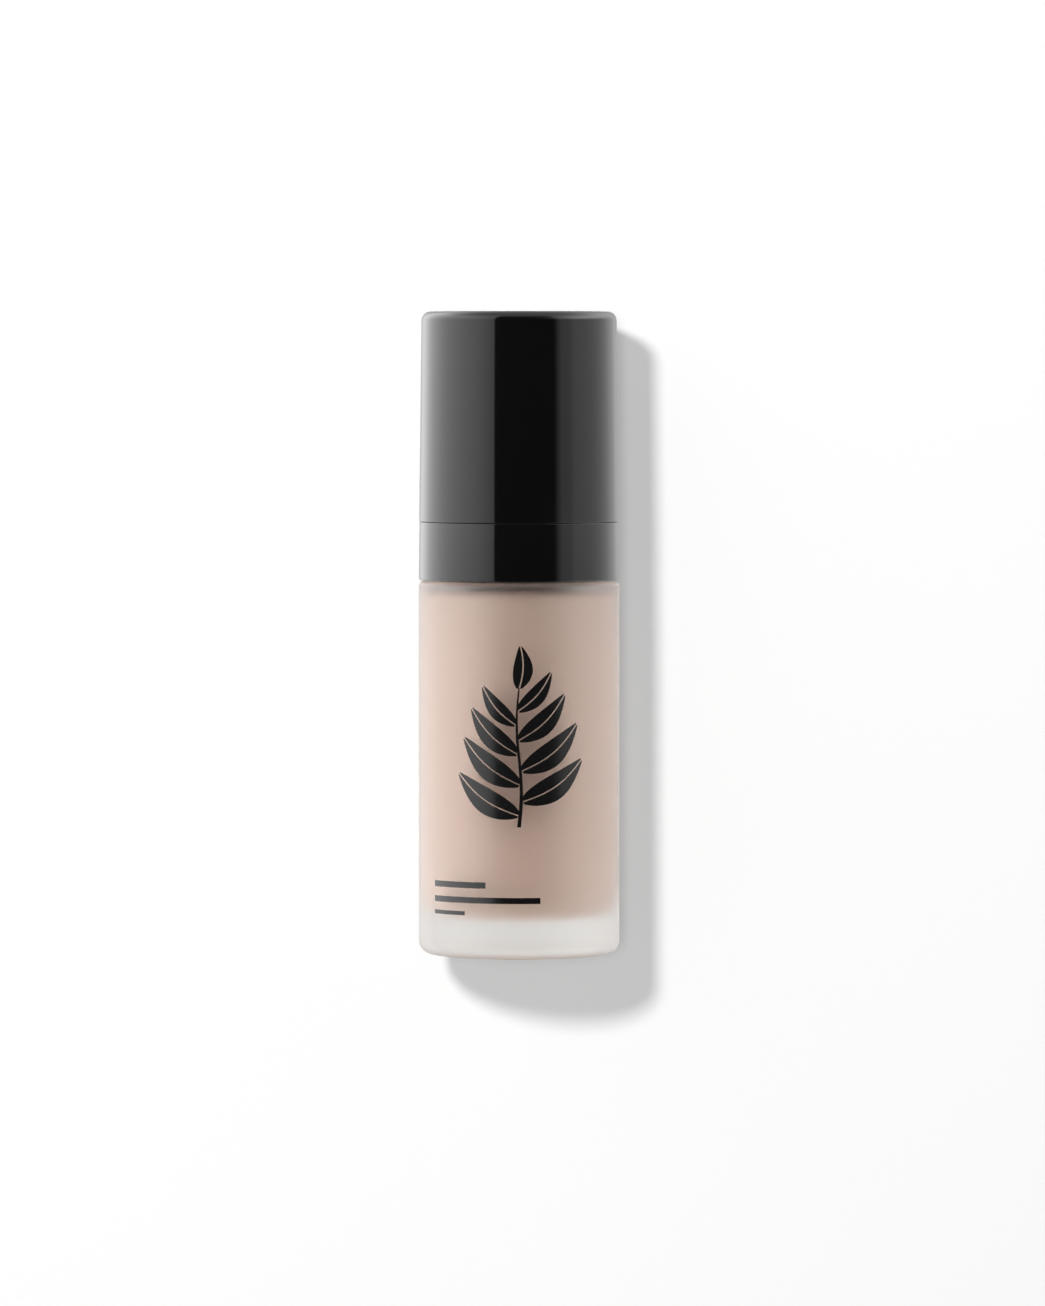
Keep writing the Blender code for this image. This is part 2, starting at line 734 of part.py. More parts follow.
def make_overcap_liner(frame):
    """The cap's inner cup, with a bead that holds it on the spigot."""
    low = CAP_Z + 0.0006
    ceiling_z = LINER_TOP_Z - 0.0012
    bead_z = LEDGE_Z + 0.0036
    bead = 0.00005
    outline = [
        (0, LINER_TOP_Z),
        (LINER_R - 0.0006, LINER_TOP_Z),
        (LINER_R, LINER_TOP_Z - 0.0006),
        (LINER_R, low),
        (LINER_BORE + GAP, low),
        (LINER_BORE, low + GAP),
        (LINER_BORE, bead_z - 0.0004),
        (LINER_BORE - bead, bead_z),
        (LINER_BORE, bead_z + 0.0004),
        (LINER_BORE, ceiling_z),
        (0, ceiling_z),
    ]
    plastic = principled("liner_plastic", (0.03, 0.03, 0.03), 0.4)
    turned("overcap_liner", outline, SIDES_MIDDLE, plastic, frame)


def main():
    clear_scene()
    make_glass_bottle()
    make_liquid()

    pump = body_frame("pump_frame", NECK_TOP_Z)
    make_neck_gasket(pump)
    make_pump_housing(pump)
    make_chaplet(pump)
    make_stem_seal(pump)
    make_ball_cage(pump)
    make_return_spring(pump)
    make_dip_tube(pump)
    make_inlet_ball(body_frame("ball_frame", BALL_Z, pump))

    stem = body_frame("stem_frame", STEM_END_Z, pump)
    make_pump_stem(stem)
    make_piston_rod(stem)
    make_piston_seal(body_frame("piston_frame", PISTON_Z, stem))

    actuator = body_frame("actuator_frame", STEM_TOP_Z, stem)
    make_actuator_body(actuator)
    make_actuator_cover(actuator)
    make_nozzle_insert(actuator)

    closure = body_frame("closure_frame", DECK_Z, pump)
    make_screw_closure(closure)
    make_collar_sleeve(closure)

    overcap = body_frame("overcap_frame", CAP_Z, closure)
    make_overcap_shell(overcap)
    make_overcap_liner(overcap)


main()
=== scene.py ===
"""The looks of a 30 ml foundation bottle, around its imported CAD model.

Metres, +Z up, in the frame of the CAD: the bottle stands on z = 0 with its axis on Z, and its printed
side faces -Y. Outlines are (radius, height) points turned about Z, as in the CAD, with finer corners.
"""

import json
import math

import bmesh
import bpy
from mathutils import Matrix, Vector

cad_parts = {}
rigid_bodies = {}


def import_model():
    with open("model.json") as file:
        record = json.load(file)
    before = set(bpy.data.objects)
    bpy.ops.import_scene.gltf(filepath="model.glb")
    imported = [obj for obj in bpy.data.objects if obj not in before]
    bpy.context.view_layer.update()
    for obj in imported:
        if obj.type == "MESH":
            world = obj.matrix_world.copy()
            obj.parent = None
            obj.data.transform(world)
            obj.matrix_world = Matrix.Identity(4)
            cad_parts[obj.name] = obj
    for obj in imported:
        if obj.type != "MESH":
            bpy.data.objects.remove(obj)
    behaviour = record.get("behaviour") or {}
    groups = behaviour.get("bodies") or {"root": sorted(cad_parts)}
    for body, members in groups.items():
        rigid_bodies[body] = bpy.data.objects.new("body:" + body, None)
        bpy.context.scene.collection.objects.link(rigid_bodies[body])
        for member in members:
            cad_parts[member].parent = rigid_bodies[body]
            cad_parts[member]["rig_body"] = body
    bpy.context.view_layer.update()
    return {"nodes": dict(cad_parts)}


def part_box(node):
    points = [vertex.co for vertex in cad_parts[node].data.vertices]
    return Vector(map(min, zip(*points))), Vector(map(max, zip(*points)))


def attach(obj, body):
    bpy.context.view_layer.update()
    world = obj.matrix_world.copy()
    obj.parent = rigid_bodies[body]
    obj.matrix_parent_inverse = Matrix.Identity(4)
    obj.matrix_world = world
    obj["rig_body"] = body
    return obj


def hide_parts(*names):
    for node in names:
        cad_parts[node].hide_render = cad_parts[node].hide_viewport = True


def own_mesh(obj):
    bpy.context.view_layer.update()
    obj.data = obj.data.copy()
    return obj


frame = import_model()
MM = 0.001
MICRON = 0.000001
GAP = 0.3 * MM

# Levels and radii that the frame gives
BODY_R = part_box("glass_bottle")[1].x
NECK_TOP_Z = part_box("glass_bottle")[1].z
SLEEVE_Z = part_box("collar_sleeve")[0].z
SLEEVE_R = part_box("collar_sleeve")[1].x
SPIGOT_TOP_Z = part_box("collar_sleeve")[1].z
SHOULDER_Z = SLEEVE_Z - GAP
CAP_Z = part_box("overcap_shell")[0].z
CAP_TOP_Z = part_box("overcap_shell")[1].z
CAP_BASE_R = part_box("overcap_shell")[1].x
LEDGE_Z = CAP_Z - GAP
FLOOR_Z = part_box("liquid_foundation")[0].z - GAP
CLOSURE_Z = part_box("screw_closure")[0].z
DECK_TOP_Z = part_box("screw_closure")[1].z
CLOSURE_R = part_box("screw_closure")[1].x
FLANGE_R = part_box("pump_housing")[1].x
HEAD_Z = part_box("actuator_cover")[0].z
HEAD_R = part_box("actuator_cover")[1].x
HEAD_TOP_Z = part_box("actuator_cover")[1].z
SPOUT_Z = (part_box("nozzle_insert")[0].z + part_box("nozzle_insert")[1].z) / 2
SPOUT_TIP = -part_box("actuator_body")[0].y
STEM_TOP_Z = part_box("pump_stem")[1].z
STEM_END_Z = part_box("pump_stem")[0].z

# Screw thread of the neck and the closure: one start, right-handed. Its ends fade over a part of a turn
THREAD_LEAD = 3.175 * MM
THREAD_START_Z = SHOULDER_Z + 2.2 * MM
THREAD_PHASE = math.radians(3)
THREAD_FADE = 1 / 12
THREAD_STEPS = 96

# Fineness of the meshes
SIDES_FINE = 192
SIDES_MIDDLE = 96
SIDES_SMALL = 48
SHARP_ANGLE = math.radians(32)
MERGE = 0.0001 * MM


# --- Meshes -----------------------------------------------------------------------------------


def arc(centre_r, centre_z, radius, start, end, steps=10):
    """Points along a round corner of an outline, from one angle to another in degrees."""
    angles = [math.radians(start + (end - start) * i / steps) for i in range(steps + 1)]
    return [(centre_r + radius * math.cos(a), centre_z + radius * math.sin(a)) for a in angles]


def add_object(name, mesh):
    item = bpy.data.objects.new(name, mesh)
    bpy.context.scene.collection.objects.link(item)
    return item


def finished_mesh(name, shape):
    bmesh.ops.dissolve_degenerate(shape, dist=MERGE, edges=shape.edges)
    bmesh.ops.recalc_face_normals(shape, faces=shape.faces)
    mesh = bpy.data.meshes.new(name)
    shape.to_mesh(mesh)
    shape.free()
    mesh.shade_smooth()
    mesh.set_sharp_from_angle(angle=SHARP_ANGLE)
    return mesh


def turned_mesh(name, outline, sides):
    """A closed solid turned about Z. An outline that starts and ends on the axis is solid there."""
    shape = bmesh.new()
    points = [shape.verts.new((r, 0, z)) for r, z in outline]
    pairs = list(zip(points, points[1:]))
    if not (outline[0][0] == 0 and outline[-1][0] == 0):
        pairs.append((points[-1], points[0]))
    edges = [shape.edges.new(pair) for pair in pairs]
    bmesh.ops.spin(
        shape,
        geom=points + edges,
        cent=(0, 0, 0),
        axis=(0, 0, 1),
        dvec=(0, 0, 0),
        angle=2 * math.pi,
        steps=sides,
        use_merge=True,
    )
    bmesh.ops.remove_doubles(shape, verts=shape.verts, dist=MERGE)
    return finished_mesh(name, shape)


def eased(outline, radius=0.15 * MM, steps=3):
    """The outline with its corners rounded. Points on the axis stay as they are."""
    points = [Vector(point) for point in outline]
    result = []
    for i, corner in enumerate(points):
        if corner.x == 0:
            result.append(tuple(corner))
            continue
        back = points[i - 1] - corner
        ahead = points[(i + 1) % len(points)] - corner
        reach = min(radius, back.length * 0.45, ahead.length * 0.45)
        start = corner + back.normalized() * reach
        end = corner + ahead.normalized() * reach
        for k in range(steps + 1):
            t = k / steps
            result.append(tuple(start.lerp(corner, t).lerp(corner.lerp(end, t), t)))
    return result


def turned_piece(name, outline, sides=SIDES_MIDDLE):
    return add_object(name, turned_mesh(name, eased(outline), sides))


def along_spout(piece):
    """Turns a piece made on the Z axis so that its heights run out along the spout, to -Y."""
    piece.data.transform(Matrix.Translation((0, 0, SPOUT_Z)) @ Matrix.Rotation(math.pi / 2, 4, "X"))
    return piece


def combine(piece, tool, operation):
    """Joins a tool to the piece or cuts it out. The tool itself doesn't stay."""
    step = piece.modifiers.new("combine", "BOOLEAN")
    step.operation = operation
    step.object = tool
    step.solver = "EXACT"
    graph = bpy.context.evaluated_depsgraph_get()
    mesh = bpy.data.meshes.new_from_object(piece.evaluated_get(graph))
    piece.modifiers.clear()
    piece.data = mesh
    bpy.data.objects.remove(tool, do_unlink=True)
    mesh.shade_smooth()
    mesh.set_sharp_from_angle(angle=SHARP_ANGLE)


def thread(name, root, crest, first_z, first_turn, turns):
    """A ridge on the thread's helix. root and crest are (radius, half width); its ends fade out."""
    count = round(turns * THREAD_STEPS)
    least_share = 0.05
    shape = bmesh.new()
    sections = []
    for i in range(count + 1):
        turn = first_turn + turns * i / count
        share = min(turns * i / count, turns * (count - i) / count) / THREAD_FADE
        crest_r = root[0] + (crest[0] - root[0]) * max(least_share, min(1.0, share))
        angle = 2 * math.pi * turn + THREAD_PHASE
        middle = first_z + THREAD_LEAD * turn
        corners = [(root[0], -root[1]), (crest_r, -crest[1]), (crest_r, crest[1]), (root[0], root[1])]
        section = []
        for r, z in eased(corners, 0.25 * MM)[2:-2]:
            section.append(shape.verts.new((r * math.cos(angle), r * math.sin(angle), middle + z)))
        sections.append(section)
    sides = len(sections[0])
    for lower, upper in zip(sections, sections[1:]):
        for i in range(sides):
            j = (i + 1) % sides
            shape.faces.new((lower[i], lower[j], upper[j], upper[i]))
    shape.faces.new(sections[0])
    shape.faces.new(reversed(sections[-1]))
    return add_object(name, finished_mesh(name, shape))


# --- Materials --------------------------------------------------------------------------------

# Waves to a metre of the clouds of colour and the patches of gloss on moulded pieces
CLOUD_SCALE = 260.0
GLOSS_SCALE = 900.0
IOR = 1.5

# Painted shade at the glass's outline: the grey its colour darkens to there, and how slanted it is seen
# where this starts and is full
GLASS_OUTLINE_SHADE = (0.56, 0.57, 0.57, 1.0)
OUTLINE_START = 0.15
OUTLINE_END = 0.80


def new_material(name):
    material = bpy.data.materials.new(name)
    material.use_nodes = True
    return material, material.node_tree, material.node_tree.nodes["Principled BSDF"]


def maths(tree, operation, *values):
    node = tree.nodes.new("ShaderNodeMath")
    node.operation = operation
    for socket, value in zip(node.inputs, values):
        if isinstance(value, (int, float)):
            socket.default_value = value
        else:
            tree.links.new(value, socket)
    return node.outputs["Value"]


def noise(tree, scale, detail=3.0):
    """Smooth random values that keep their place on the object; scale is waves to a metre."""
    place = tree.nodes.new("ShaderNodeTexCoord")
    texture = tree.nodes.new("ShaderNodeTexNoise")
    texture.inputs["Scale"].default_value = scale
    texture.inputs["Detail"].default_value = detail
    tree.links.new(place.outputs["Object"], texture.inputs["Vector"])
    return texture.outputs["Fac"]


def spread(tree, value, low, high):
    """Maps noise around its middle onto a range of values."""
    node = tree.nodes.new("ShaderNodeMapRange")
    node.inputs["From Min"].default_value = 0.3
    node.inputs["From Max"].default_value = 0.7
    node.inputs["To Min"].default_value = low
    node.inputs["To Max"].default_value = high
    tree.links.new(value, node.inputs["Value"])
    return node.outputs["Result"]


def bump(tree, shader, value, depth):
    node = tree.nodes.new("ShaderNodeBump")
    node.inputs["Strength"].default_value = 1.0
    node.inputs["Distance"].default_value = depth
    tree.links.new(value, node.inputs["Height"])
    tree.links.new(node.outputs["Normal"], shader.inputs["Normal"])


def blend_colours(tree, shader, value, first, second):
    node = tree.nodes.new("ShaderNodeMix")
    node.data_type = "RGBA"
    node.inputs["A"].default_value = (*first, 1.0)
    node.inputs["B"].default_value = (*second, 1.0)
    tree.links.new(value, node.inputs["Factor"])
    tree.links.new(node.outputs["Result"], shader.inputs["Base Color"])


def moulded(name, colour, other_colour, roughness, grain, depth, metallic=0.0, transmission=0.0):
    """A moulded surface: faint clouds of colour, uneven gloss and a fine relief."""
    material, tree, shader = new_material(name)
    clouds = noise(tree, CLOUD_SCALE)
    blend_colours(tree, shader, clouds, colour, other_colour)
    gloss = spread(tree, noise(tree, GLOSS_SCALE), *roughness)
    tree.links.new(gloss, shader.inputs["Roughness"])
    bump(tree, shader, noise(tree, grain), depth)
    shader.inputs["Metallic"].default_value = metallic
    shader.inputs["Transmission Weight"].default_value = transmission
    shader.inputs["IOR"].default_value = IOR
    return material


def frosted_glass(name, roughness):
    """Glass whose colour darkens towards its outline, where it is seen at a slant from outside: painted
    shade.
    """
    material, tree, shader = new_material(name)
    blend_colours(tree, shader, noise(tree, 180.0), (0.945, 0.965, 0.945), (0.965, 0.98, 0.965))
    slant = tree.nodes.new("ShaderNodeLayerWeight")
    slant.inputs["Blend"].default_value = 0.5
    share = tree.nodes.new("ShaderNodeMapRange")
    share.inputs["From Min"].default_value = OUTLINE_START
    share.inputs["From Max"].default_value = OUTLINE_END
    tree.links.new(slant.outputs["Facing"], share.inputs["Value"])
    side = tree.nodes.new("ShaderNodeNewGeometry")
    from_outside = maths(tree, "SUBTRACT", 1.0, side.outputs["Backfacing"])
    # Painted shade: the glass's colour darkens towards a grey where it is seen at a slant from outside.
    darken = tree.nodes.new("ShaderNodeMix")
    darken.data_type = "RGBA"
    darken.inputs["B"].default_value = GLASS_OUTLINE_SHADE
    amount = maths(tree, "MULTIPLY", share.outputs["Result"], from_outside)
    tree.links.new(amount, darken.inputs["Factor"])
    tree.links.new(shader.inputs["Base Color"].links[0].from_socket, darken.inputs["A"])
    tree.links.new(darken.outputs["Result"], shader.inputs["Base Color"])
    unevenness = 0.02
    gloss = spread(tree, noise(tree, 700.0), roughness - unevenness, roughness + unevenness)
    tree.links.new(gloss, shader.inputs["Roughness"])
    bump(tree, shader, noise(tree, 6000.0), 2 * MICRON)
    shader.inputs["Transmission Weight"].default_value = 1.0
    shader.inputs["IOR"].default_value = IOR
    return material


def cream():
    material, tree, shader = new_material("cream")
    blend_colours(tree, shader, noise(tree, 120.0), (0.735, 0.530, 0.442), (0.755, 0.548, 0.458))
    gloss = spread(tree, noise(tree, 400.0), 0.30, 0.36)
    tree.links.new(gloss, shader.inputs["Roughness"])
    bump(tree, shader, noise(tree, 250.0), 10 * MICRON)
    return material


FROSTED = frosted_glass("frosted_outside", 0.48)
CLEAR = frosted_glass("clear_inside", 0.05)
CREAM = cream()
GLOSS_BLACK = moulded(
    "gloss_black",
    (0.0035, 0.0035, 0.0037),
    (0.0045, 0.0045, 0.0046),
    roughness=(0.05, 0.075),
    grain=500.0,
    depth=0.6 * MICRON,
)
SATIN_BLACK = moulded(
    "satin_black",
    (0.020, 0.020, 0.021),
    (0.028, 0.028, 0.029),
    roughness=(0.32, 0.42),
    grain=9000.0,
    depth=4 * MICRON,
)
INK = moulded(
    "printed_ink",
    (0.006, 0.006, 0.006),
    (0.009, 0.009, 0.009),
    roughness=(0.16, 0.24),
    grain=5000.0,
    depth=2 * MICRON,
)
NATURAL = moulded(
    "natural_plastic",
    (0.80, 0.80, 0.76),
    (0.84, 0.84, 0.81),
    roughness=(0.34, 0.44),
    grain=3000.0,
    depth=3 * MICRON,
)
TUBE = moulded(
    "clear_tube",
    (0.84, 0.86, 0.84),
    (0.88, 0.89, 0.87),
    roughness=(0.18, 0.26),
    grain=2500.0,
    depth=2 * MICRON,
    transmission=0.6,
)
FOAM = moulded(
    "gasket_foam",
    (0.66, 0.66, 0.62),
    (0.80, 0.80, 0.77),
    roughness=(0.70, 0.85),
    grain=7000.0,
    depth=30 * MICRON,
)
RUBBER = moulded(
    "seal_rubber",
    (0.12, 0.12, 0.125),
    (0.17, 0.17, 0.18),
    roughness=(0.50, 0.62),
    grain=5000.0,
    depth=6 * MICRON,
)
STEEL = moulded(
    "spring_steel",
    (0.58, 0.58, 0.59),
    (0.68, 0.68, 0.69),
    roughness=(0.16, 0.26),
    grain=6000.0,
    depth=2 * MICRON,
    metallic=1.0,
)


# --- Joining pieces to the frame --------------------------------------------------------------


def stands_for(piece, node, material=None):
    """The piece takes the place of a CAD node: it rides on that node's body and hides the node."""
    if material:
        piece.data.materials.append(material)
    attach(piece, frame["nodes"][node]["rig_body"])
    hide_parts(node)


def carry_over(node, material):
    """The CAD node stays, with a better material."""
    item = frame["nodes"][node]
    item.data.materials.clear()
    item.data.materials.append(material)


# --- Bottle -----------------------------------------------------------------------------------

WALL = 3.7 * MM
INNER_R = BODY_R - WALL
INNER_CORNER = 4.5 * MM
INNER_SHOULDER = 1.4 * MM
CEILING_Z = SHOULDER_Z - 1.5 * MM
BASE_CORNER = 2.3 * MM
SHOULDER_CORNER = 1.0 * MM
NECK_R = 8.95 * MM
NECK_BORE_R = 6.3 * MM
CONTACT_R = 11.5 * MM


def make_bottle():
    """One shell of glass with its neck and thread: rough outside, clear where the filling wets it."""
    bore_round = 1.4 * MM
    rim_inner, rim_outer = 0.3 * MM, 0.4 * MM
    neck_round = 1.0 * MM
    outline = [
        (0, FLOOR_Z),
        *arc(INNER_R - INNER_CORNER, FLOOR_Z + INNER_CORNER, INNER_CORNER, -90, 0),
        *arc(INNER_R - INNER_SHOULDER, CEILING_Z - INNER_SHOULDER, INNER_SHOULDER, 0, 90),
        *arc(NECK_BORE_R + bore_round, CEILING_Z + bore_round, bore_round, -90, -180, 6),
        *arc(NECK_BORE_R + rim_inner, NECK_TOP_Z - rim_inner, rim_inner, 180, 90, 4),
        *arc(NECK_R - rim_outer, NECK_TOP_Z - rim_outer, rim_outer, 90, 0, 4),
        *arc(NECK_R + neck_round, SHOULDER_Z + neck_round, neck_round, 180, 270, 6),
        *arc(BODY_R - SHOULDER_CORNER, SHOULDER_Z - SHOULDER_CORNER, SHOULDER_CORNER, 90, 0, 8),
        *arc(BODY_R - BASE_CORNER, BASE_CORNER, BASE_CORNER, 0, -90, 12),
        (CONTACT_R, 0),
        (CONTACT_R - 0.5 * MM, 0.06 * MM),
        (CONTACT_R - 1.2 * MM, 0.3 * MM),
        (CONTACT_R / 2, 0.8 * MM),
        (0, 0.9 * MM),
    ]
    bottle = add_object("bottle_glass", turned_mesh("bottle_glass", outline, SIDES_FINE))
    bottle.data.materials.append(FROSTED)
    bottle.data.materials.append(CLEAR)
    for face in bottle.data.polygons:
        inside = math.hypot(face.center.x, face.center.y) < INNER_R + GAP / 2
        if inside and FLOOR_Z - GAP < face.center.z < CEILING_Z + GAP:
            face.material_index = 1
    root = (NECK_R - 0.35 * MM, 1.1 * MM)
    crest = (9.8 * MM, 0.45 * MM)
    turns = 1.15
    combine(bottle, thread("neck_thread", root, crest, THREAD_START_Z, 0, turns), "UNION")
    stands_for(bottle, "glass_bottle")


def make_cream():
    """The filling, which wets the glass: it reaches a little into the wall, so no air lies between."""
    wet = 0.05 * MM
    well_r = 5.4 * MM
    barrel_end_z = 48.4 * MM
    tube_well_r = 3.1 * MM
    cone_end_z = 45.4 * MM
    tube_r = 1.8 * MM
    tube_end_z = FLOOR_Z + 1.0 * MM
    socket_z = 39.7 * MM
    corner = INNER_CORNER + wet
    shoulder = INNER_SHOULDER + wet
    outline = [
        (0, FLOOR_Z - wet),
        *arc(INNER_R - INNER_CORNER, FLOOR_Z + INNER_CORNER, corner, -90, 0),
        *arc(INNER_R - INNER_SHOULDER, CEILING_Z - INNER_SHOULDER, shoulder, 0, 80),
        (well_r, CEILING_Z - wet),
        (well_r, barrel_end_z),
        (tube_well_r, cone_end_z),
        (tube_well_r, socket_z),
        (tube_r, socket_z),
        (tube_r, tube_end_z),
        (0, tube_end_z),
    ]
    filling = add_object("foundation_cream", turned_mesh("foundation_cream", outline, SIDES_FINE))
    stands_for(filling, "liquid_foundation", CREAM)


# --- Closure sleeve and cap -------------------------------------------------------------------


def make_sleeve():
    """Skirt, ledge under the cap, spigot with a bead for the cap, and a lip on the closure's deck."""
    wall_r = SLEEVE_R - 1.45 * MM
    spigot_r = 14.4 * MM
    spigot_bore = 13.2 * MM
    inner_wall_r = CLOSURE_R + GAP
    inner_wall_z = SHOULDER_Z + 1.8 * MM
    groove_top_z = LEDGE_Z - 1.4 * MM
    lip_r = HEAD_R + 0.6 * MM
    lip_z = DECK_TOP_Z + GAP
    lip_top_z = lip_z + 1.0 * MM
    low = SHOULDER_Z + 0.15 * MM
    low_edge = 0.3 * MM
    edge = 0.12 * MM
    ledge_r = SLEEVE_R - 0.1 * MM
    bead_z = LEDGE_Z + 5.7 * MM
    outline = [
        (wall_r, low),
        *arc(SLEEVE_R - low_edge, low + low_edge, low_edge, -90, 0, 8),
        *arc(ledge_r - edge, LEDGE_Z - edge, edge, 0, 90, 5),
        *arc(spigot_r + 0.2 * MM, LEDGE_Z + 0.2 * MM, 0.2 * MM, 270, 180, 3),
        *arc(spigot_r - 0.35 * MM, bead_z, 0.5 * MM, -45, 45, 8),
        *arc(spigot_r - 0.3 * MM, SPIGOT_TOP_Z - 0.3 * MM, 0.3 * MM, 0, 90, 5),
        *arc(spigot_bore + 0.2 * MM, SPIGOT_TOP_Z - 0.2 * MM, 0.2 * MM, 90, 180, 3),
        *arc(spigot_bore - 0.3 * MM, lip_top_z + 0.3 * MM, 0.3 * MM, 0, -90, 4),
        *arc(lip_r + 0.2 * MM, lip_top_z - 0.2 * MM, 0.2 * MM, 90, 180, 3),
        (lip_r, lip_z),
        (inner_wall_r, lip_z),
        (inner_wall_r, inner_wall_z),
        (inner_wall_r + 1.1 * MM, inner_wall_z),
        (inner_wall_r + 1.1 * MM, groove_top_z),
        (wall_r, groove_top_z),
    ]
    sleeve = add_object("gloss_sleeve", turned_mesh("gloss_sleeve", outline, SIDES_FINE))
    stands_for(sleeve, "collar_sleeve", GLOSS_BLACK)


def make_cap():
    """The cap, down to a hair above the ledge, with a slight taper and a round shoulder."""
    top_r = 17.0 * MM
    corner = 1.6 * MM
    bore = 15.9 * MM
    roof_z = CAP_TOP_Z - 2.0 * MM
    edge = 0.12 * MM
    low = LEDGE_Z + 0.06 * MM
    outline = [
        (0, CAP_TOP_Z),
        *arc(top_r - corner, CAP_TOP_Z - corner, corner, 90, 0, 16),
        *arc(CAP_BASE_R - edge, low + edge, edge, 0, -90, 5),
        *arc(bore + edge, low + edge, edge, -90, -180, 4),
        *arc(bore - 0.9 * MM, roof_z - 0.8 * MM, 0.8 * MM, 0, 90, 5),
        (0, roof_z),
    ]
    cap = add_object("gloss_cap", turned_mesh("gloss_cap", outline, SIDES_FINE))
    stands_for(cap, "overcap_shell", GLOSS_BLACK)


# --- Cap liner and closure --------------------------------------------------------------------


def make_cap_liner():
    """The cap's inner cup, with a soft bead that holds it on the spigot."""
    low, high = (corner.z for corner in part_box("overcap_liner"))
    outer_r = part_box("overcap_liner")[1].x
    bore = outer_r - 0.8 * MM
    bead_z = LEDGE_Z + 3.6 * MM
    outline = [
        (0, high),
        (outer_r - 0.6 * MM, high),
        (outer_r, high - 0.6 * MM),
        (outer_r, low),
        (bore, low),
        (bore, bead_z - 0.4 * MM),
        (bore - 0.05 * MM, bead_z),
        (bore, bead_z + 0.4 * MM),
        (bore, high - 1.2 * MM),
        (0, high - 1.2 * MM),
    ]
    stands_for(turned_piece("cap_liner", outline), "overcap_liner", SATIN_BLACK)


def make_closure():
    """The threaded cup that clamps the pump on the neck. Fine ribs on its wall grip the sleeve."""
    ribs = 40
    rib = 0.3 * MM
    bore = 10.15 * MM
    hole_r = 5.6 * MM
    deck_z = DECK_TOP_Z - 1.4 * MM
    outline = [
        (bore + 0.3 * MM, CLOSURE_Z),
        (CLOSURE_R - rib, CLOSURE_Z),
        (CLOSURE_R - rib, CLOSURE_Z + 1.0 * MM),
        (CLOSURE_R, CLOSURE_Z + 1.2 * MM),
        (CLOSURE_R, DECK_TOP_Z - 1.5 * MM),
        (CLOSURE_R - rib, DECK_TOP_Z - 1.3 * MM),
        (CLOSURE_R - rib, DECK_TOP_Z),
        (hole_r, DECK_TOP_Z),
        (hole_r, deck_z),
        (bore, deck_z),
        (bore, CLOSURE_Z + 0.4 * MM),
    ]
    closure = turned_piece("knurled_closure", outline, 6 * ribs)
    for vertex in closure.data.vertices:
        x, y, _ = vertex.co
        r = math.hypot(x, y)
        if r > CLOSURE_R - rib / 2:
            ribbed_r = r - rib / 2 * (1 - math.cos(ribs * math.atan2(y, x)))
            vertex.co.x = x * ribbed_r / r
            vertex.co.y = y * ribbed_r / r
    root = (bore + 0.35 * MM, 0.55 * MM)
    crest = (bore - 0.85 * MM, 0.2 * MM)
    first_z = THREAD_START_Z - 1.25 * MM
    ridge = thread("closure_thread", root, crest, first_z, first_turn=1 / 6, turns=11 / 12)
    combine(closure, ridge, "UNION")
    stands_for(closure, "screw_closure", SATIN_BLACK)


# --- Pump cylinder and what it holds ----------------------------------------------------------

BARREL_BORE = 4.0 * MM
STEM_R = 2.0 * MM
STEM_BORE = 1.1 * MM
SOCKET_BORE = 1.8 * MM
HEAD_BORE = 4.9 * MM


def ring(name, node, material, inner_r):
    """A flat ring with a node's outer radius and thickness."""
    low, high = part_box(node)
    outline = [(inner_r, low.z), (high.x, low.z), (high.x, high.z), (inner_r, high.z)]
    piece = turned_piece(name, outline)
    stands_for(piece, node, material)
    return piece


def make_pump_cylinder():
    """The flanged cylinder, with the ball's chamber and seat under it and a socket for the tube."""
    low, high = (corner.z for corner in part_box("pump_housing"))
    flange_z = high - 1.2 * MM
    step_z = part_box("stem_seal")[0].z - 0.25 * MM
    chamber_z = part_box("ball_cage")[0].z - 0.2 * MM
    chamber_r = 2.3 * MM
    seat_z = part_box("dip_tube")[1].z + 0.7 * MM
    seat_r = 1.0 * MM
    barrel_r = 5.0 * MM
    head_r = 5.9 * MM
    socket_r = 2.7 * MM
    outline = [
        (SOCKET_BORE, low),
        (socket_r, low),
        (socket_r, seat_z - 1.7 * MM),
        (barrel_r, seat_z + 1.3 * MM),
        (barrel_r, step_z - 1.6 * MM),
        (head_r, step_z - 0.8 * MM),
        (head_r, flange_z),
        (FLANGE_R, flange_z),
        (FLANGE_R, high),
        (HEAD_BORE, high),
        (HEAD_BORE, step_z),
        (BARREL_BORE, step_z),
        (BARREL_BORE, chamber_z),
        (chamber_r, chamber_z),
        (chamber_r, seat_z + chamber_r - seat_r),
        (seat_r, seat_z),
        (seat_r, seat_z - 0.4 * MM),
        (SOCKET_BORE, seat_z - 0.4 * MM),
    ]
    stands_for(turned_piece("pump_cylinder", outline), "pump_housing", NATURAL)


def make_guide_bush():
    """The bush that closes the cylinder: a plug, a disc under the closure's deck and a boss."""
    low, high = (corner.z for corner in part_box("chaplet"))
    disc_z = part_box("pump_housing")[1].z + GAP
    disc_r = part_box("chaplet")[1].x
    bore = 2.9 * MM
    boss_r = 5.2 * MM
    guide_r = STEM_R + GAP
    outline = [
        (bore, low),
        (HEAD_BORE - GAP, low),
        (HEAD_BORE - GAP, disc_z),
        (disc_r, disc_z),
        (disc_r, disc_z + 1.0 * MM),
        (boss_r, disc_z + 1.0 * MM),
        (boss_r, high - 0.3 * MM),
        (boss_r - 0.3 * MM, high),
        (guide_r, high),
        (guide_r, high - 1.2 * MM),
        (bore, high - 1.8 * MM),
    ]
    stands_for(turned_piece("guide_bush", outline), "chaplet", SATIN_BLACK)


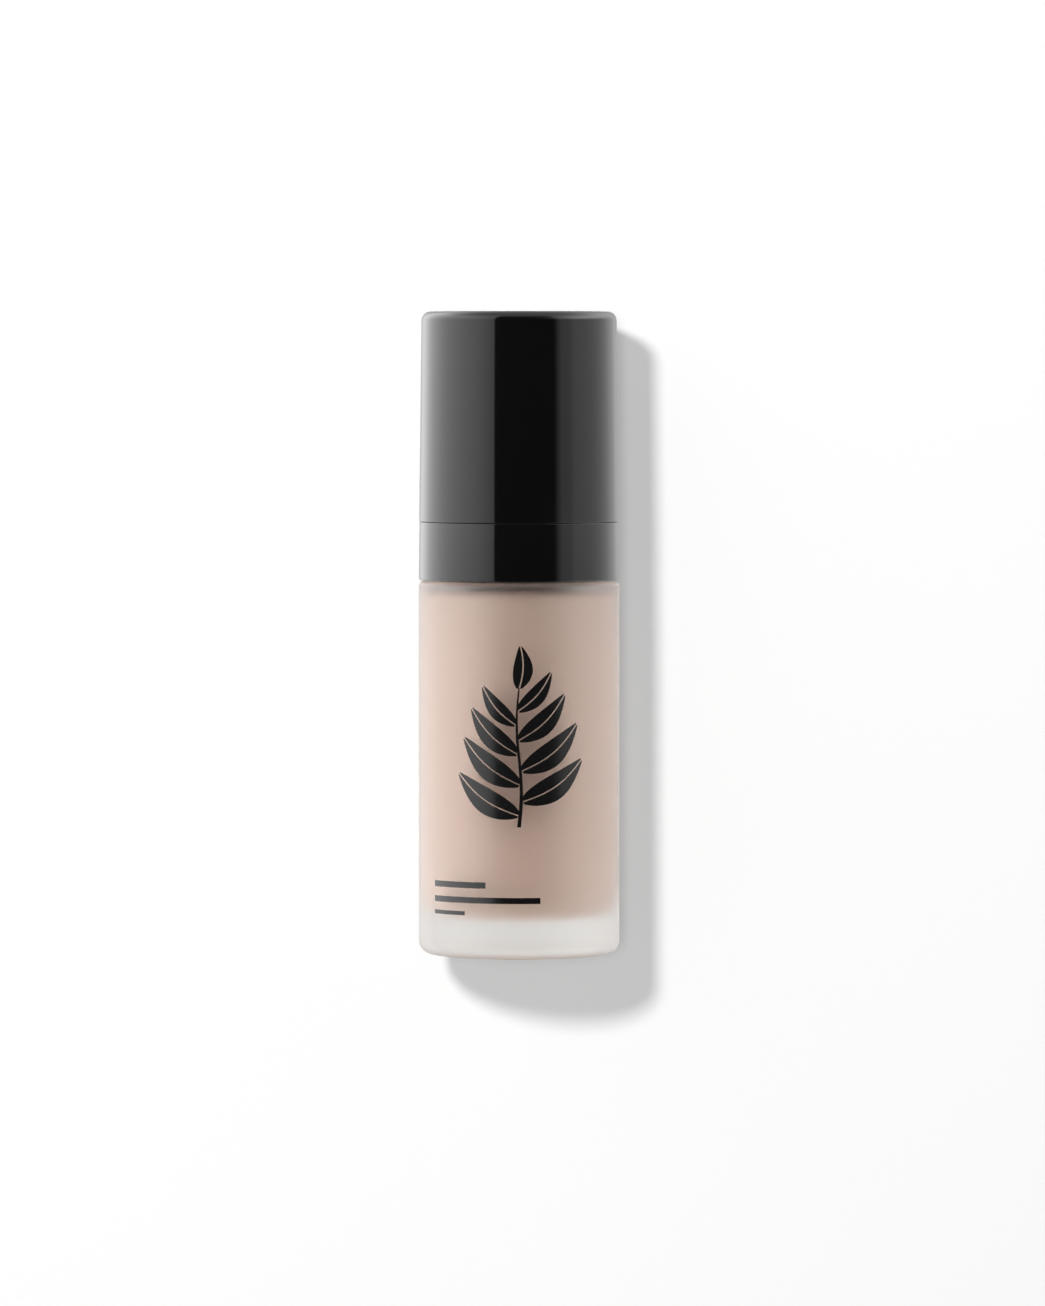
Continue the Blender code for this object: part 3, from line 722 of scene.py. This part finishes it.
def make_ball_cage():
    """The ring that seats the spring. Four slots in its bore let liquid past the lifted ball."""
    bore = 1.1 * MM
    slot_end_r = 2.6 * MM
    slots = 4
    slot_start = 0.35
    cage = ring("cage_ring", "ball_cage", NATURAL, bore)
    for vertex in cage.data.vertices:
        x, y, _ = vertex.co
        r = math.hypot(x, y)
        if r < slot_end_r and math.sin(slots * math.atan2(y, x)) > slot_start:
            vertex.co.x = x * slot_end_r / r
            vertex.co.y = y * slot_end_r / r


def make_spring():
    """A coil with closed ends, on a mesh of its own. The real spring shortens by the pump's stroke."""
    low, high = (corner.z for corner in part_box("return_spring"))
    wire_r = 0.35 * MM
    coil_r = 2.9 * MM
    turns = 7.5
    end_pitch = 0.8 * MM
    points_per_turn = 32
    first_z = low + wire_r
    open_pitch = (high - low - 2 * wire_r - 2 * end_pitch) / (turns - 2)
    curve = bpy.data.curves.new("spring_coil", "CURVE")
    curve.dimensions = "3D"
    curve.bevel_depth = wire_r
    curve.bevel_resolution = 4
    curve.use_fill_caps = True
    wire = curve.splines.new("POLY")
    wire.points.add(round(turns * points_per_turn))
    for i, point in enumerate(wire.points):
        turn = i / points_per_turn
        open_turns = min(max(turn - 1, 0), turns - 2)
        height = first_z + end_pitch * (turn - open_turns) + open_pitch * open_turns
        angle = 2 * math.pi * turn
        point.co = (coil_r * math.cos(angle), coil_r * math.sin(angle), height, 1)
    guide = add_object("spring_guide", curve)
    graph = bpy.context.evaluated_depsgraph_get()
    mesh = bpy.data.meshes.new_from_object(guide.evaluated_get(graph))
    bpy.data.objects.remove(guide, do_unlink=True)
    mesh.shade_smooth()
    mesh.materials.clear()
    spring = add_object("spring_coil", mesh)
    stands_for(spring, "return_spring", STEEL)
    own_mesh(spring)


def make_suction_tube():
    """A straight tube whose lower end is cut at a slant, so that it can't seal on the floor."""
    low, high = (corner.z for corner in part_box("dip_tube"))
    outer_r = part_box("dip_tube")[1].x
    bore = 0.85 * MM
    slant = 0.5
    outline = [(bore, low), (outer_r, low), (outer_r, high), (bore, high)]
    tube = turned_piece("suction_tube", outline, SIDES_SMALL)
    for vertex in tube.data.vertices:
        if vertex.co.z < low + 1.0 * MM:
            vertex.co.z += slant * (vertex.co.x + outer_r)
    stands_for(tube, "dip_tube", TUBE)


# --- Moving stem and piston -------------------------------------------------------------------


def make_stem():
    """The hollow stem, with a flange that stops it under its gasket."""
    flange_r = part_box("pump_stem")[1].x
    flange_top_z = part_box("stem_seal")[0].z - 0.35 * MM
    flange_z = flange_top_z - 1.2 * MM
    outline = [
        (STEM_BORE, STEM_END_Z),
        (STEM_R, STEM_END_Z),
        (STEM_R, flange_z),
        (flange_r, flange_z),
        (flange_r, flange_top_z),
        (STEM_R, flange_top_z),
        (STEM_R, STEM_TOP_Z - 0.2 * MM),
        (STEM_R - 0.2 * MM, STEM_TOP_Z),
        (STEM_BORE, STEM_TOP_Z),
    ]
    piece = turned_piece("hollow_stem", outline, SIDES_SMALL)
    stands_for(piece, "pump_stem", NATURAL)


def make_rod():
    """Solid rod: a spring boss, the valve head, the piston's shaft and a pin inside the stem."""
    low, high = (corner.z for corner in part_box("piston_rod"))
    head_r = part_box("piston_rod")[1].x
    head_z = low + 1.1 * MM
    seat_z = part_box("piston_seal")[0].z - 0.4 * MM
    boss_r = 2.1 * MM
    shaft_r = 1.3 * MM
    pin_r = STEM_BORE - 0.35 * MM
    outline = [
        (0, low),
        (boss_r - 0.2 * MM, low),
        (boss_r, low + 0.2 * MM),
        (boss_r, head_z),
        (head_r, head_z),
        (head_r, head_z + 0.7 * MM),
        (2.4 * MM, seat_z),
        (shaft_r, seat_z),
        (shaft_r, STEM_END_Z - 0.4 * MM),
        (pin_r, STEM_END_Z - 0.2 * MM),
        (pin_r, high - 0.2 * MM),
        (0, high),
    ]
    piece = turned_piece("valve_rod", outline, SIDES_SMALL)
    stands_for(piece, "piston_rod", NATURAL)


def make_piston():
    """A piston with two lips on its outside and a sleeve around the rod."""
    low, high = (corner.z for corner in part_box("piston_seal"))
    lip_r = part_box("piston_seal")[1].x
    waist_r = 3.2 * MM
    bore = 1.6 * MM
    sleeve_r = 2.2 * MM
    upper_half = [
        (bore, high),
        (sleeve_r, high),
        (sleeve_r, high - 0.7 * MM),
        (waist_r - GAP, high - 0.7 * MM),
        (lip_r - 0.3 * MM, high),
        (lip_r, high),
        (lip_r, high - 0.5 * MM),
        (waist_r, high - 1.0 * MM),
    ]
    lower_half = [(r, low + high - z) for r, z in reversed(upper_half)]
    piece = turned_piece("lipped_piston", upper_half + lower_half)
    stands_for(piece, "piston_seal", NATURAL)


# --- Pump head --------------------------------------------------------------------------------

SPOUT_R = 2.6 * MM
SPOUT_BORE = 0.9 * MM
NOZZLE_POCKET_R = 1.7 * MM
COVER_WALL = 1.2 * MM


def make_head_core():
    """Socket for the stem, a disc that the cover grips, and the spout with its channel."""
    disc_top_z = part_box("actuator_body")[1].z
    disc_z = disc_top_z - 1.2 * MM
    disc_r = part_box("actuator_body")[1].x
    socket_end_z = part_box("actuator_body")[0].z
    socket_r = 3.6 * MM
    channel_r = 1.2 * MM
    bore = STEM_R + GAP
    stop_z = STEM_TOP_Z + 0.5 * MM
    outline = [
        (0, disc_top_z),
        (disc_r, disc_top_z),
        (disc_r, disc_z),
        (socket_r, disc_z),
        (socket_r, socket_end_z),
        (bore + 0.2 * MM, socket_end_z),
        (bore, socket_end_z + 0.3 * MM),
        (bore, stop_z),
        (channel_r, stop_z),
        (channel_r, SPOUT_Z),
        (0, SPOUT_Z),
    ]
    core = turned_piece("head_core", outline)
    tip_r = 2.2 * MM
    root = 2.0 * MM
    spout = [(0, root), (SPOUT_R, root), (tip_r, SPOUT_TIP), (0, SPOUT_TIP)]
    combine(core, along_spout(turned_piece("spout", spout)), "UNION")
    start = -0.3 * MM
    pocket = SPOUT_TIP - 2.4 * MM
    past_tip = SPOUT_TIP + 1.0 * MM
    channel = [
        (0, start),
        (SPOUT_BORE, start),
        (SPOUT_BORE, pocket),
        (NOZZLE_POCKET_R, pocket),
        (NOZZLE_POCKET_R, past_tip),
        (0, past_tip),
    ]
    combine(core, along_spout(turned_piece("channel", channel, SIDES_SMALL)), "DIFFERENCE")
    stands_for(core, "actuator_body", SATIN_BLACK)


def make_head_cover():
    """The head's outer shell, open below, with a finger dish and a hole for the spout."""
    inner_r = HEAD_R - COVER_WALL
    round_r = 1.2 * MM
    rim_r = HEAD_R - round_r - 0.6 * MM
    dish = 1.2 * MM
    roof_z = HEAD_TOP_Z - dish - COVER_WALL
    edge = 0.3 * MM
    dish_steps = 14
    hollow = []
    for i in range(dish_steps + 1):
        share = 1 - i / dish_steps
        hollow.append((rim_r * share, HEAD_TOP_Z - dish * (1 - share * share) ** 1.3))
    outline = [
        (0, roof_z),
        (inner_r - edge, roof_z),
        (inner_r, roof_z - edge),
        (inner_r, HEAD_Z),
        *arc(HEAD_R - edge, HEAD_Z + edge, edge, -90, 0, 5),
        *arc(HEAD_R - round_r, HEAD_TOP_Z - round_r, round_r, 0, 90, 10),
        *hollow,
    ]
    cover = add_object("head_cover", turned_mesh("head_cover", outline, SIDES_FINE))
    hole_r = SPOUT_R + GAP
    near, far = 5 * MM, 12 * MM
    hole = turned_piece("hole", [(0, near), (hole_r, near), (hole_r, far), (0, far)])
    combine(cover, along_spout(hole), "DIFFERENCE")
    stands_for(cover, "actuator_cover", GLOSS_BLACK)


def make_nozzle_tip():
    """The tip pressed into the spout: a shank, a rounded flange and the outlet."""
    tip = -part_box("nozzle_insert")[0].y
    start = -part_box("nozzle_insert")[1].y
    flange = tip - 0.5 * MM
    flange_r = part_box("nozzle_insert")[1].x
    shank_r = NOZZLE_POCKET_R - 0.25 * MM
    bore = 0.7 * MM
    outline = [
        (bore, start),
        (shank_r, start),
        (shank_r, flange),
        (flange_r, flange),
        (flange_r - 0.2 * MM, tip),
        (bore + 0.2 * MM, tip),
        (bore, tip - 0.2 * MM),
    ]
    piece = along_spout(turned_piece("nozzle_tip", outline, SIDES_SMALL))
    stands_for(piece, "nozzle_insert", SATIN_BLACK)


# --- Print ------------------------------------------------------------------------------------

INK_LOW = 0.006 * MM
INK_HIGH = 0.03 * MM


def on_glass(along, height, lift):
    """A point on the bottle's wall: along is the distance round it from the middle of the front."""
    angle = along / BODY_R
    r = BODY_R + lift
    return Vector((r * math.sin(angle), -r * math.cos(angle), height))


def add_ink(shape, rows):
    """A thin closed film over a grid of (along, height) points."""
    low = [[shape.verts.new(on_glass(s, z, INK_LOW)) for s, z in row] for row in rows]
    high = [[shape.verts.new(on_glass(s, z, INK_HIGH)) for s, z in row] for row in rows]
    last_row = len(rows) - 1
    last_column = len(rows[0]) - 1
    for i in range(last_row):
        for j in range(last_column):
            shape.faces.new((high[i][j], high[i][j + 1], high[i + 1][j + 1], high[i + 1][j]))
            shape.faces.new((low[i][j], low[i + 1][j], low[i + 1][j + 1], low[i][j + 1]))
        for j in (0, last_column):
            shape.faces.new((low[i][j], low[i + 1][j], high[i + 1][j], high[i][j]))
    for j in range(last_column):
        for i in (0, last_row):
            shape.faces.new((low[i][j], low[i][j + 1], high[i][j + 1], high[i][j]))


def half_leaf(root, length, width, angle, side):
    """One side of a leaf, between its vein and its edge. The vein stays unprinted."""
    steps, columns = 28, 4
    vein = 0.11 * MM
    end_gap = 0.02
    droop_share = 0.08
    rows = []
    for i in range(steps + 1):
        t = end_gap + (1 - 2 * end_gap) * i / steps
        reach = vein + width / 2 * math.sin(math.pi * t ** 0.8) ** 0.85
        droop = -droop_share * length * math.sin(math.pi * t) * math.copysign(1, math.cos(angle))
        row = []
        for j in range(columns + 1):
            across = side * (vein + (reach - vein) * j / columns) + droop
            s = root[0] + t * length * math.cos(angle) - across * math.sin(angle)
            z = root[1] + t * length * math.sin(angle) + across * math.cos(angle)
            row.append((s, z))
        rows.append(row)
    return rows


def stem_line(t):
    """The sprig's stem, from its foot at t = 0 to its tip at 1: a long, shallow S."""
    sway = 0.4 * MM
    foot_z = 23.0 * MM
    height = 24.0 * MM
    return sway * math.sin(2 * math.pi * t), foot_z + height * t


def bar(start, end, height, thickness):
    steps = 24
    rows = []
    for i in range(steps + 1):
        s = start + (end - start) * i / steps
        rows.append([(s, height - thickness / 2), (s, height + thickness / 2)])
    return rows


def sprig_stem():
    steps = 40
    rows = []
    for i in range(steps + 1):
        s, z = stem_line(i / steps)
        half_width = (0.34 - 0.2 * i / steps) * MM
        rows.append([(s - half_width, z), (s + half_width, z)])
    return rows


def make_print():
    """A leafy sprig and three short plain bars."""
    # Pairs of leaves: place on the stem and length. They point further up towards the tip
    leaves = [(0.13, 13.6 * MM), (0.35, 13.4 * MM), (0.57, 11.8 * MM), (0.78, 9.2 * MM)]
    leaf_width = 0.31
    stagger = 0.05
    top_leaf = (7.6 * MM, 3.2 * MM, math.radians(88))
    # Bars: height, thickness and right end. They share their left end
    bars = [
        (12.9 * MM, 1.05 * MM, -5.9 * MM),
        (10.3 * MM, 1.05 * MM, 3.7 * MM),
        (8.0 * MM, 0.7 * MM, -9.9 * MM),
    ]
    bars_start = -17.2 * MM
    shape = bmesh.new()
    add_ink(shape, sprig_stem())
    for t, length in leaves:
        for side in (-1, 1):
            root = stem_line(t + stagger * side)
            angle = math.radians(90 - side * (60 - 24 * t))
            for half in (-1, 1):
                add_ink(shape, half_leaf(root, length, length * leaf_width, angle, half))
    for half in (-1, 1):
        add_ink(shape, half_leaf(stem_line(0.99), *top_leaf, half))
    for height, thickness, end in bars:
        add_ink(shape, bar(bars_start, end, height, thickness))
    sprig = add_object("printed_sprig", finished_mesh("printed_sprig", shape))
    sprig.data.materials.append(INK)
    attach(sprig, "bottle")


# --- Camera, light and surroundings -----------------------------------------------------------

# Brightness of the studio round the bottle: degrees from the camera's side, positive to the right.
# A dark gap faces the bottle, between a large soft panel on the left and a weaker one on the right.
STUDIO = [
    (-180, 0.55),
    (-166, 0.95),
    (-150, 2.5),
    (-138, 3.1),
    (-110, 3.1),
    (-80, 2.5),
    (-50, 1.8),
    (-28.9, 1.05),
    (-28.3, 0.03),
    (42, 0.03),
    (51, 0.75),
    (62, 0.80),
    (68, 1.1),
    (95, 1.2),
    (130, 1.6),
    (152, 1.3),
    (166, 0.7),
    (180, 0.55),
]
STUDIO_PEAK = 3.1
# Brightness straight up and down. It takes over between these two steepnesses, where 1 is straight up
CEILING = 0.66
CEILING_RISE = (0.55, 0.97)
# More light from the right, which comes in between two steepnesses away from eye level
SIDE_FILL = 1.1
SIDE_FILL_RISE = (0.12, 0.5)
SIDE_FILL_FOCUS = 4.0
# How much brighter it is above than below
TILT = 0.5

# The tabletop's grey, its own even glow that sets its brightness in the bottle's shadow, and a painted
# extra glow where the glass looks onto it
TABLE_HALF_SIZE = 0.45
TABLE_GREY = (0.12, 0.12, 0.12, 1.0)
SHADE = 0.326
GLOW_SEEN_THROUGH_GLASS = 0.30

CAMERA_PLACE = Vector((0.0006, -1.35, 0.105))
CAMERA_TARGET = Vector((0.0006, 0, 0.0524))
LENS = 213.6


def make_camera():
    data = bpy.data.cameras.new("camera")
    data.lens = LENS
    data.sensor_width = 36.0
    camera = bpy.data.objects.new("camera", data)
    bpy.context.scene.collection.objects.link(camera)
    camera.location = CAMERA_PLACE
    camera.rotation_mode = "QUATERNION"
    camera.rotation_quaternion = (CAMERA_TARGET - CAMERA_PLACE).to_track_quat("-Z", "Y")
    bpy.context.scene.camera = camera


def compass_ramp(tree, x, y):
    """Brightness by the compass, from STUDIO."""
    azimuth = maths(tree, "ARCTAN2", x, maths(tree, "MULTIPLY", y, -1.0))
    share = maths(tree, "MULTIPLY_ADD", azimuth, 1 / (2 * math.pi), 0.5)
    ramp = tree.nodes.new("ShaderNodeValToRGB")
    stops = ramp.color_ramp.elements
    while len(stops) > 1:
        stops.remove(stops[-1])
    for i, (degrees, brightness) in enumerate(STUDIO):
        stop = stops[0] if i == 0 else stops.new(1.0)
        stop.position = degrees / 360 + 0.5
        grey = brightness / STUDIO_PEAK
        stop.color = (grey, grey, grey, 1.0)
    tree.links.new(share, ramp.inputs["Fac"])
    return ramp.outputs["Color"]


def smooth_rise(tree, value, limits):
    node = tree.nodes.new("ShaderNodeMapRange")
    node.interpolation_type = "SMOOTHSTEP"
    node.inputs["From Min"].default_value = limits[0]
    node.inputs["From Max"].default_value = limits[1]
    tree.links.new(value, node.inputs["Value"])
    return node.outputs["Result"]


def make_world():
    """White to the camera. To the bottle it is a soft studio whose brightness turns with the compass."""
    world = bpy.data.worlds.new("studio")
    world.use_nodes = True
    bpy.context.scene.world = world
    tree = world.node_tree
    tree.nodes.clear()
    place = tree.nodes.new("ShaderNodeTexCoord")
    parts = tree.nodes.new("ShaderNodeSeparateXYZ")
    tree.links.new(place.outputs["Generated"], parts.inputs["Vector"])
    x, y, z = parts.outputs
    climb = maths(tree, "ABSOLUTE", z)
    sky = tree.nodes.new("ShaderNodeMix")
    sky.data_type = "RGBA"
    tree.links.new(smooth_rise(tree, climb, CEILING_RISE), sky.inputs["Factor"])
    tree.links.new(compass_ramp(tree, x, y), sky.inputs["A"])
    ceiling = CEILING / STUDIO_PEAK
    sky.inputs["B"].default_value = (ceiling, ceiling, ceiling, 1.0)
    to_right = maths(tree, "POWER", maths(tree, "MAXIMUM", x, 0.0), SIDE_FILL_FOCUS)
    beside = maths(tree, "MULTIPLY", to_right, smooth_rise(tree, climb, SIDE_FILL_RISE))
    level = maths(tree, "ADD", sky.outputs["Result"], maths(tree, "MULTIPLY", beside, SIDE_FILL))
    tilted = maths(tree, "MULTIPLY", level, maths(tree, "MULTIPLY_ADD", z, TILT, 1.0))
    studio = tree.nodes.new("ShaderNodeBackground")
    studio.inputs["Strength"].default_value = STUDIO_PEAK
    tree.links.new(tilted, studio.inputs["Color"])
    white = tree.nodes.new("ShaderNodeBackground")
    white.inputs["Color"].default_value = (1.0, 1.0, 1.0, 1.0)
    seen = tree.nodes.new("ShaderNodeLightPath")
    either = tree.nodes.new("ShaderNodeMixShader")
    tree.links.new(seen.outputs["Is Camera Ray"], either.inputs["Fac"])
    tree.links.new(studio.outputs["Background"], either.inputs[1])
    tree.links.new(white.outputs["Background"], either.inputs[2])
    output = tree.nodes.new("ShaderNodeOutputWorld")
    tree.links.new(either.outputs["Shader"], output.inputs["Surface"])


def make_tabletop():
    """The pale surface that the bottle's back lies against. It shows only from its front."""
    shape = bmesh.new()
    bmesh.ops.create_grid(shape, x_segments=1, y_segments=1, size=TABLE_HALF_SIZE)
    mesh = bpy.data.meshes.new("tabletop")
    shape.to_mesh(mesh)
    shape.free()
    table = add_object("tabletop", mesh)
    table.rotation_euler = (math.pi / 2, 0, 0)
    table.location = (0, BODY_R + GAP, CAP_TOP_Z / 2)
    material, tree, shader = new_material("tabletop")
    shader.inputs["Base Color"].default_value = TABLE_GREY
    shader.inputs["Roughness"].default_value = 1.0
    shader.inputs["Specular IOR Level"].default_value = 0.0
    shader.inputs["Emission Color"].default_value = (1.0, 1.0, 1.0, 1.0)
    path = tree.nodes.new("ShaderNodeLightPath")
    # Painted light: the tabletop glows more where it is seen through the glass, in place of light that
    # the glass lets through onto it.
    strength = maths(tree, "MULTIPLY_ADD", path.outputs["Is Transmission Ray"], GLOW_SEEN_THROUGH_GLASS, SHADE)
    tree.links.new(strength, shader.inputs["Emission Strength"])
    side = tree.nodes.new("ShaderNodeNewGeometry")
    clear = tree.nodes.new("ShaderNodeBsdfTransparent")
    either = tree.nodes.new("ShaderNodeMixShader")
    tree.links.new(side.outputs["Backfacing"], either.inputs["Fac"])
    tree.links.new(shader.outputs["BSDF"], either.inputs[1])
    tree.links.new(clear.outputs["BSDF"], either.inputs[2])
    tree.links.new(either.outputs["Shader"], tree.nodes["Material Output"].inputs["Surface"])
    mesh.materials.append(material)
    table.visible_diffuse = False
    table.visible_glossy = False
    table.visible_shadow = False
    return table


def make_shadow_light(name, towards, distance, strength, radius, lit):
    """A round soft light that falls only on the tabletop, where it makes a shadow.

    Its strength is the light that reaches the bottle's middle, in watts to a square metre.
    """
    way = Vector(towards).normalized()
    data = bpy.data.lights.new(name, "POINT")
    data.energy = strength * 4 * math.pi * distance ** 2
    data.shadow_soft_size = radius
    light = bpy.data.objects.new(name, data)
    bpy.context.scene.collection.objects.link(light)
    light.location = Vector((0, 0, CAP_TOP_Z / 2)) - way * distance
    light.visible_camera = False
    light.light_linking.receiver_collection = lit


def make_surroundings():
    make_camera()
    make_world()
    lit = bpy.data.collections.new("lit_by_shadow_lights")
    lit.objects.link(make_tabletop())
    make_shadow_light("key", (0.329, 1.0, -0.36), 1.2, 13.5, 0.073, lit)
    make_shadow_light("fill", (0.043, 1.0, -0.043), 5.0, 4.2, 0.39, lit)
    bpy.context.scene.view_settings.view_transform = "Standard"


make_surroundings()
make_bottle()
make_cream()
make_sleeve()
make_cap()
make_cap_liner()
make_closure()
make_pump_cylinder()
make_guide_bush()
make_ball_cage()
make_spring()
make_suction_tube()
make_stem()
make_rod()
make_piston()
make_head_core()
make_head_cover()
make_nozzle_tip()
make_print()
ring("flange_gasket", "neck_gasket", FOAM, NECK_BORE_R + 0.1 * MM)
ring("stem_gasket", "stem_seal", RUBBER, STEM_R + 0.25 * MM)
carry_over("inlet_ball", STEEL)
